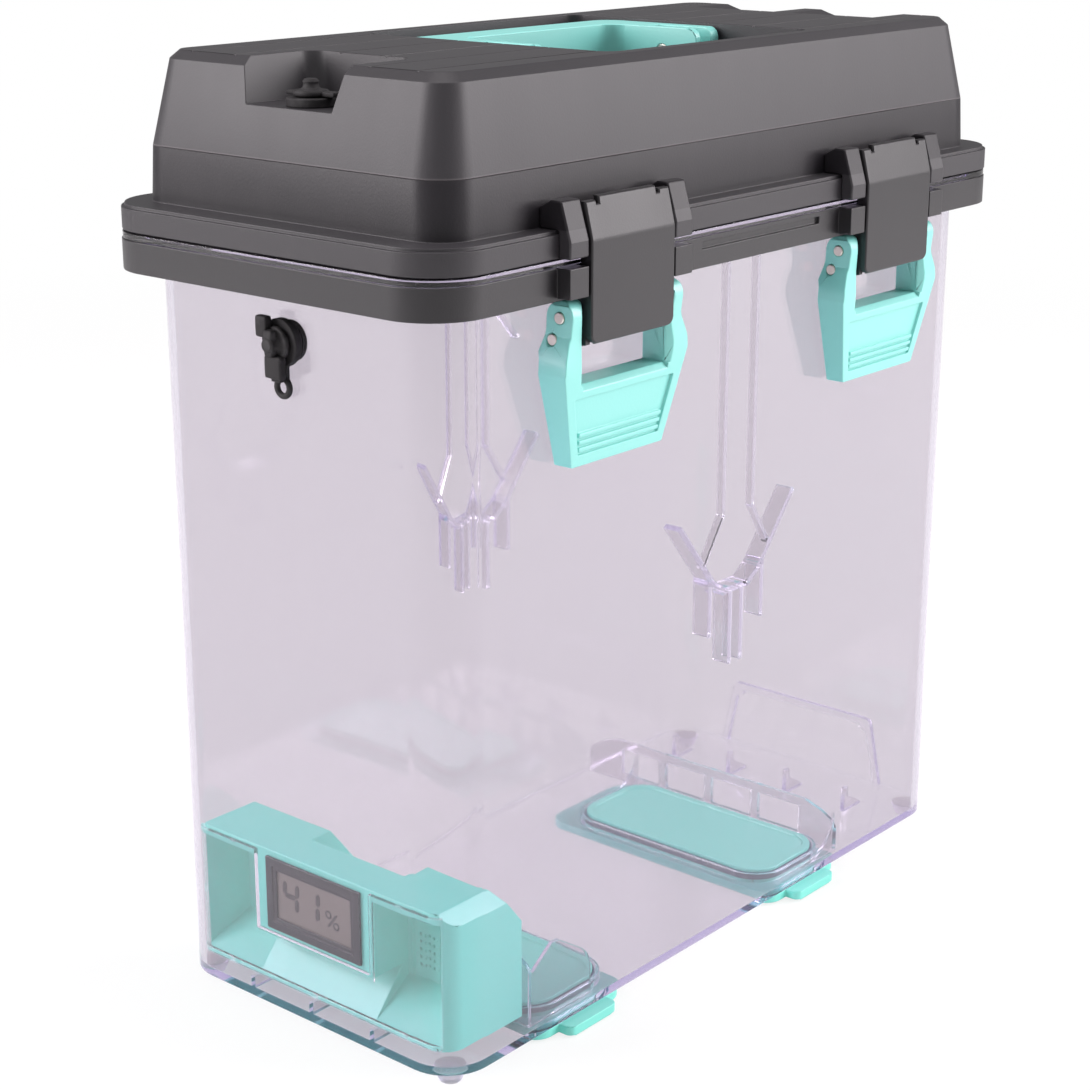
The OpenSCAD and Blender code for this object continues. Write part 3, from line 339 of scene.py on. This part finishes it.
# Faces with holes or many corners in them keep their triangles
TRIANGLES = ("sensor_housing", "near_vent_screen", "far_vent_screen", "rim_collar", "lid_shell",
             "carry_handle", "left_latch_lever", "right_latch_lever", "near_tray", "far_tray")
FRONT_PLATES = ("left_latch_strap", "right_latch_strap")
PLATE_ROUNDING, LEAST_PLATE = 0.7 * MM, 150 * MM * MM


def only(piece):
    """Makes the piece the only selected object, and the active one."""
    for other in list(bpy.context.selected_objects):
        other.select_set(False)
    piece.select_set(True)
    bpy.context.view_layer.objects.active = piece


def dress(piece, finish, body):
    piece.data.materials.clear()
    piece.data.materials.append(finish)
    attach(piece, body)


def apply_modifiers(piece):
    only(piece)
    for name in [modifier.name for modifier in piece.modifiers]:
        bpy.ops.object.modifier_apply(modifier=name)


def pick_edges(piece, chosen):
    """Enters edit mode with only the edges selected that the test accepts."""
    only(piece)
    mesh = piece.data
    for group in (mesh.vertices, mesh.edges, mesh.polygons):
        group.foreach_set("select", [False] * len(group))
    for edge in mesh.edges:
        edge.select = chosen(edge)
    bpy.ops.object.mode_set(mode="EDIT")
    bpy.ops.mesh.select_mode(type="EDGE")


def round_front(piece):
    """Rounds the outline and the crease of the large faces that look forward."""
    keys = {key for face in piece.data.polygons
            if face.normal.y < -0.7 and face.area > LEAST_PLATE for key in face.edge_keys}
    pick_edges(piece, lambda edge: edge.key in keys)
    bpy.ops.mesh.bevel(offset=PLATE_ROUNDING, segments=3, affect="EDGES", clamp_overlap=False)
    bpy.ops.object.mode_set(mode="OBJECT")


def soften(node, width):
    """Replaces a CAD node by a copy with rounded edges, which stays in the node's own box."""
    source = frame["nodes"][node]
    piece = bpy.data.objects.new(node + "_moulding", source.data.copy())
    scene.collection.objects.link(piece)
    only(piece)
    bpy.ops.object.mode_set(mode="EDIT")
    bpy.ops.mesh.select_mode(type="VERT")
    bpy.ops.mesh.select_all(action="SELECT")
    bpy.ops.mesh.remove_doubles(threshold=WELD)
    if node not in TRIANGLES:
        bpy.ops.mesh.dissolve_limited(angle_limit=FLAT)
    bpy.ops.object.mode_set(mode="OBJECT")
    if node in FRONT_PLATES:
        round_front(piece)
    bevel = piece.modifiers.new("soft edges", "BEVEL")
    bevel.width, bevel.segments = width * MM, 2
    bevel.limit_method, bevel.angle_limit = "ANGLE", SHARP
    bevel.use_clamp_overlap = node in CLOSE_EDGES
    bevel.miter_outer = "MITER_ARC"
    only(piece)
    bpy.ops.object.shade_smooth_by_angle(angle=CAD_SMOOTH)
    level = piece.modifiers.new("flat faces", "WEIGHTED_NORMAL")
    level.keep_sharp, level.weight = True, 100
    apply_modifiers(piece)
    low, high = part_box(node)
    for vertex in piece.data.vertices:
        vertex.co = [min(max(at, least), most) for at, least, most in zip(vertex.co, low, high)]
    slot = SLOT_OF[node]
    dress(piece, OWN_FINISH.get(node, FINISHES[slot]), BODY_OF[node])
    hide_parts(node)


# ---- New pieces, in millimetres ----

LOW_LCD, HIGH_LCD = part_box("lcd_panel")
LCD_X = LOW_LCD[0] - 0.08 * MM
LCD_Z = (LOW_LCD[2] + HIGH_LCD[2]) / 2 / MM
STROKE_THICK = 0.16
DIGIT_STROKE, PERCENT_STROKE = 2.0, 0.9
DIGIT_WIDE, DIGIT_HIGH, DIGIT_GAP, DIGIT_LEAN = 6.4, 11.4, 0.35, 0.5
END_PORT_Z = 258.0


def finished(piece, name, finish, body):
    """Puts the piece's place into its mesh, then names, smooths and dresses it."""
    only(piece)
    bpy.ops.object.transform_apply(location=True, rotation=True, scale=True)
    apply_modifiers(piece)
    only(piece)
    bpy.ops.object.shade_smooth_by_angle(angle=NEW_SMOOTH)
    piece.name = name
    dress(piece, finish, body)


def bar(start, end, wide):
    """Rounded bar on the display's face between two points (y, z)."""
    run = Vector((0, end[0] - start[0], end[1] - start[1])) * MM
    middle = Vector((LCD_X, (start[0] + end[0]) / 2 * MM, (start[1] + end[1]) / 2 * MM))
    bpy.ops.mesh.primitive_cube_add(size=1, location=middle)
    piece = bpy.context.object
    piece.scale = (STROKE_THICK * MM, run.length, wide * MM)
    piece.rotation_euler = (math.atan2(run.z, run.y), 0, 0)
    only(piece)
    bpy.ops.object.transform_apply(location=True, rotation=True, scale=True)

    def runs_inward(edge):
        first, second = (piece.data.vertices[k].co for k in edge.vertices)
        return abs(first.x - second.x) > STROKE_THICK / 2 * MM

    pick_edges(piece, runs_inward)
    bpy.ops.mesh.bevel(offset=0.42 * wide * MM, segments=1, affect="EDGES")
    bpy.ops.object.mode_set(mode="OBJECT")
    return piece


def digit(left, low, segments):
    """Strokes of a seven-segment digit; left is its +Y side."""
    right, middle, top = left - DIGIT_WIDE, low + DIGIT_HIGH / 2, low + DIGIT_HIGH
    gap, lean = DIGIT_GAP, DIGIT_LEAN
    strokes = {
        "upper left": ((left - lean * 0.5, middle + gap), (left - lean, top - gap)),
        "upper right": ((right - lean * 0.5, middle + gap), (right - lean, top - gap)),
        "middle": ((left - gap, middle), (right + gap, middle)),
        "lower right": ((right, low + gap), (right - lean * 0.4, middle - gap)),
    }
    return [bar(*strokes[name], DIGIT_STROKE) for name in segments]


def ring(place, major, minor, facets, rounds):
    """Ring that faces along X."""
    bpy.ops.mesh.primitive_torus_add(
        major_radius=major * MM, minor_radius=minor * MM, major_segments=facets,
        minor_segments=rounds, location=place, rotation=(0, math.radians(90), 0))
    return bpy.context.object


def humidity_reading():
    """The reading: two digits and a percent sign."""
    low = LCD_Z - 4.6
    strokes = digit(15.5, low, ("upper left", "middle", "upper right", "lower right"))
    strokes += digit(4.8, low, ("upper right", "lower right"))
    strokes.append(bar((-7.0, low), (-11.5, LCD_Z + 1.2), PERCENT_STROKE))
    for y, z in ((-7.3, LCD_Z + 0.2), (-11.2, LCD_Z - 3.4)):
        dot = ring((LCD_X, y * MM, z * MM), 1.25, 0.42, 24, 8)
        bpy.ops.transform.resize(value=(0.2, 1, 1), center_override=dot.location)
        strokes.append(dot)
    only(strokes[0])
    for stroke in strokes:
        stroke.select_set(True)
    bpy.ops.object.join()
    finished(bpy.context.object, "humidity_reading", DIGITS, "meter_unit")


def lump(place, size, name, body, slot="rubber", levels=2):
    """Small soft-cornered block."""
    bpy.ops.mesh.primitive_cube_add(size=1, location=[v * MM for v in place])
    piece = bpy.context.object
    piece.scale = [v * MM for v in size]
    only(piece)
    bpy.ops.object.transform_apply(location=False, rotation=False, scale=True)
    bevel = piece.modifiers.new("corners", "BEVEL")
    bevel.width, bevel.segments = min(size) * 0.28 * MM, 2
    round_off = piece.modifiers.new("round", "SUBSURF")
    round_off.levels = round_off.render_levels = levels
    finished(piece, name, FINISHES[slot], body)


def port_details():
    """Finger lobes of the end cap, its tether's loop, and the lid cap's pull tab and tether."""
    low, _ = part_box("end_port_cap")
    face_x, z = low[0] / MM, END_PORT_Z
    lump((face_x + 3.4, 4.4, z + 5.6), (3.4, 5.6, 7.5), "end_cap_upper_lobe", "end_cap")
    lump((face_x + 3.2, -0.8, z - 7.6), (3.4, 8.0, 8.0), "end_cap_lower_lobe", "end_cap")
    lump((face_x + 2.2, 0.0, z + 0.6), (3.4, 4.2, 9.0), "end_cap_grip", "end_cap")
    loop = ring(Vector((face_x + 7.2, -0.2, z - 15.2)) * MM, 3.0, 1.1, 32, 12)
    finished(loop, "end_port_tether_loop", FINISHES["rubber"], "base")
    low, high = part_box("lid_port_cap")
    x, top = (low[0] + high[0]) / 2 / MM, high[2] / MM
    lump((x + 1.0, -8.0, top - 4.7), (4.2, 7.0, 1.8), "lid_cap_pull_tab", "lid_cap")
    lump((x - 0.4, 7.6, top - 4.9), (3.0, 5.0, 1.5), "lid_cap_tether", "lid_cap")


def cover_clips():
    """Small snap lugs along the rim of the meter housing's clear cover."""
    low, high = [[v / MM for v in corner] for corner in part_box("housing_window")]
    x, top, foot, middle = low[0] + 1.3, high[2] - 1.4, low[2] + 1.2, (low[2] + high[2]) / 2
    lying, upright = (1.0, 3.2, 1.2), (1.0, 1.2, 3.2)
    spots = ((42, top, lying), (-43, top, lying), (58.6, middle, upright),
             (0, foot, lying), (45, foot, lying), (-45, foot, lying))
    for k, (y, z, size) in enumerate(spots):
        lump((x, y, z), size, "cover_clip_%d" % (k + 1), "meter_unit", "window_plastic", levels=1)


# ---- Studio ----

WORLD_LIGHT = 0.36
NEAR_GLOW = 0.82    # share of white in the floor under the object
LENS, SENSOR = 74.74, 36.0    # millimetres
EYE = (-0.6633, -0.5435, 0.4187)
DIP, HEADING = 17.44, -49.56    # degrees
LAMP_COLOUR = (1, 0.95, 0.975)
# Name, place, what it faces, width and height in metres, and watts
LAMPS = (
    ("rear_left", (-1.4, 1.15, 1.05), (0, 0, 0.2), (1.1, 1.4), 38),
    ("front_right", (1.15, -1.4, 1.0), (0, 0, 0.18), (1.2, 1.4), 41),
    ("overhead", (-0.3, -0.2, 2.1), (0, 0, 0.3), (1.8, 1.4), 18),
)


def lamp(name, place, target, size, watts):
    data = bpy.data.lights.new(name, "AREA")
    data.shape, data.size, data.size_y = "RECTANGLE", size[0], size[1]
    data.energy, data.color = watts, LAMP_COLOUR
    light = bpy.data.objects.new(name, data)
    light.location = place
    light.rotation_euler = (Vector(target) - Vector(place)).to_track_quat("-Z", "Y").to_euler()
    scene.collection.objects.link(light)


def white_world():
    """White to the eye and through clear plastic; a plain soft light to the rest."""
    scene.world = bpy.data.worlds.new("studio")
    nodes = Nodes(scene.world)
    strength = WORLD_LIGHT + nodes.seen() * (1 - WORLD_LIGHT)
    light = nodes.node("ShaderNodeBackground", inputs={"Color": WHITE, "Strength": strength})
    nodes.node("ShaderNodeOutputWorld", inputs={"Surface": light})


def floor():
    """Pale floor that keeps a soft shadow near the object and fades to white further out."""
    bpy.ops.mesh.primitive_plane_add(size=6, location=(0, 0, 0))
    ground = bpy.context.object
    ground.name = "studio_floor"
    f = Finish("studio_floor")
    paper = f.mix(f.noise(300), srgb(246, 246, 246), srgb(252, 252, 252))
    matt = f.node("ShaderNodeBsdfDiffuse", inputs={"Color": paper})
    glow = f.node("ShaderNodeEmission", inputs={"Color": WHITE, "Strength": 1.0})
    across, along, _ = f.axes()
    far = (across * across + along * along).above(1.4, 2.0)
    share = f.seen() * (NEAR_GLOW + far * (1 - NEAR_GLOW))
    ground.data.materials.append(f.finished(f.either(share, matt, glow)))


def camera():
    data = bpy.data.cameras.new("camera")
    data.lens, data.sensor_width = LENS, SENSOR
    eye = bpy.data.objects.new("camera", data)
    eye.location = EYE
    eye.rotation_euler = (math.radians(90 - DIP), 0.0, math.radians(HEADING))
    scene.collection.objects.link(eye)
    scene.camera = eye


for moulding, rounding in SOFT_EDGES.items():
    soften(moulding, rounding)
humidity_reading()
port_details()
cover_clips()

# The hidden CAD nodes carry the finish of their slot as well
for node, source in frame["nodes"].items():
    for holder in source.material_slots:
        holder.material = FINISHES[SLOT_OF[node]]

white_world()
floor()
camera()
for setting in LAMPS:
    lamp(*setting)
scene.view_settings.view_transform = "Standard"
